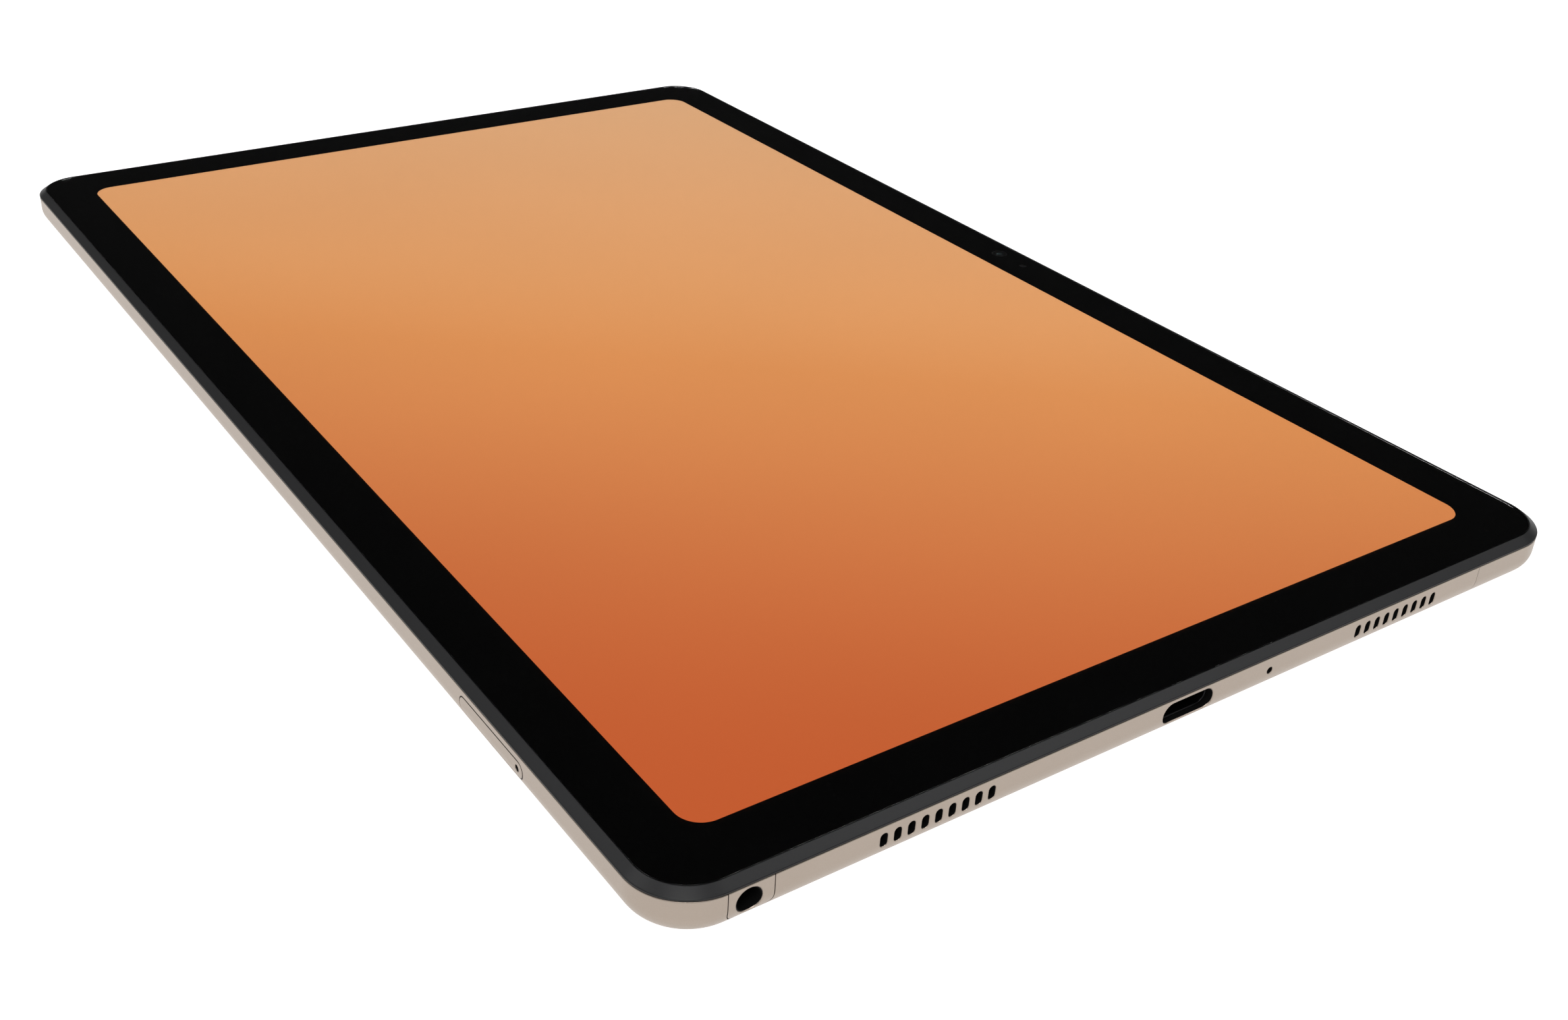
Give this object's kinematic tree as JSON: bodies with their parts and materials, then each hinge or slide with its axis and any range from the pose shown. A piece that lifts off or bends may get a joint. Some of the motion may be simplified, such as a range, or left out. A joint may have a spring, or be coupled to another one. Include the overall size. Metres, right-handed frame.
{
  "type": "tablet computer",
  "caption": "Ten-inch tablet computer with flush glass screen, rounded aluminium back, side buttons, card tray, charging port and headphone jack.",
  "frame": {"origin": "middle of the back's flat outer face", "axes": "+X along the long side towards the charging port's edge, +Y towards the edge with the buttons and the front camera, +Z out of the screen"},
  "size_m": [0.2476, 0.1577, 0.007],
  "materials": {
    "anodised_aluminium": "fine bead-blasted and anodised, satin beige",
    "painted_plastic": "painted to match the aluminium",
    "rim_plastic": "dark grey, moulded, satin chamfer",
    "seal_rubber": "matt black",
    "cover_glass": "polished, flush",
    "border_ink": "black ink printed under the glass",
    "tape": "black foam tape",
    "screen": "lit picture of layered warm petals",
    "light_guide": "clear acrylic sheet with white film",
    "backlight_metal": "pressed sheet",
    "plate_alloy": "stamped plate",
    "steel": "plain stamped or drawn steel",
    "pouch": "black laminated foil pouch",
    "circuit_board": "green solder mask",
    "chip_black": "moulded package",
    "ribbon": "polyimide ribbon",
    "black_plastic": "moulded, fine texture",
    "lens_black": "black barrel with coated glass",
    "window_glass": "polished window",
    "speaker_cloth": "black woven mesh",
    "spring_brass": "gold-flashed snap dome"
  },
  "bodies": {
    "tablet": {"rear_housing": "anodised_aluminium", "jack_antenna_insert": "painted_plastic", "corner_antenna_cover": "painted_plastic", "front_rim": "rim_plastic", "rim_gasket": "seal_rubber", "cover_glass": "cover_glass", "border_print": "border_ink", "glass_adhesive": "tape", "lcd_panel": "screen", "light_guide": "light_guide", "backlight_tray": "backlight_metal", "mid_plate": "plate_alloy", "plate_screw_1": "steel", "plate_screw_2": "steel", "plate_screw_3": "steel", "plate_screw_4": "steel", "plate_screw_5": "steel", "plate_screw_6": "steel", "battery_cell_left": "pouch", "battery_cell_right": "pouch", "battery_protection_board": "circuit_board", "main_board": "circuit_board", "processor_shield": "steel", "power_shield": "steel", "wireless_shield": "steel", "processor_chip": "chip_black", "display_flex": "ribbon", "usb_board": "circuit_board", "link_flex": "ribbon", "usb_c_shell": "steel", "usb_c_tongue": "black_plastic", "headphone_jack": "black_plastic", "edge_microphone": "steel", "speaker_right_lower": "black_plastic", "speaker_right_upper": "black_plastic", "speaker_left_lower": "black_plastic", "speaker_left_upper": "black_plastic", "speaker_mesh_right_lower": "speaker_cloth", "speaker_mesh_right_upper": "speaker_cloth", "speaker_mesh_left_lower": "speaker_cloth", "speaker_mesh_left_upper": "speaker_cloth", "wifi_antenna_upper": "ribbon", "wifi_antenna_lower": "ribbon", "front_camera": "lens_black", "light_sensor": "chip_black", "rear_camera": "black_plastic", "rear_camera_ring": "anodised_aluminium", "rear_camera_glass": "window_glass", "button_flex": "ribbon", "button_bracket": "steel", "power_dome": "spring_brass", "volume_up_dome": "spring_brass", "volume_down_dome": "spring_brass", "card_reader": "steel"},
    "power_button": {"power_button": "anodised_aluminium"},
    "volume_rocker": {"volume_rocker": "anodised_aluminium"},
    "card_tray": {"card_tray": "anodised_aluminium"},
    "eject_plunger": {"eject_plunger": "steel"},
    "eject_lever": {"eject_lever": "steel"},
    "rear_lens": {"rear_lens_barrel": "lens_black"}
  },
  "joints": [
    {"name": "power_press", "type": "slide", "parent": "tablet", "child": "power_button", "axis": [0, -1, 0], "range_m": [0, 0.00025], "stiffness_N_per_m": 2000},
    {"name": "volume_rock", "type": "hinge", "parent": "tablet", "child": "volume_rocker", "pos_m": [-0.066, 0.075, 0.00385], "axis": [0, 0, 1], "range_deg": [-1.5, 1.5], "stiffness_Nm_per_rad": 0.2},
    {"name": "tray_slide", "type": "slide", "parent": "tablet", "child": "card_tray", "axis": [0, -1, 0], "range_m": [0, 0.02]},
    {"name": "plunger_push", "type": "slide", "parent": "tablet", "child": "eject_plunger", "axis": [0, 1, 0], "range_m": [0, 0.0012]},
    {"name": "lever_swing", "type": "hinge", "parent": "tablet", "child": "eject_lever", "pos_m": [0.0862, -0.0584, 0.00365], "axis": [0, 0, 1], "range_deg": [0, 15.4]},
    {"name": "lens_focus", "type": "slide", "parent": "tablet", "child": "rear_lens", "axis": [0, 0, -1], "range_m": [0, 0.0003], "stiffness_N_per_m": 160}
  ],
  "couplings": [
    {"joint": "lever_swing", "follows": "plunger_push", "rad_per_m": 222.2}
  ]
}
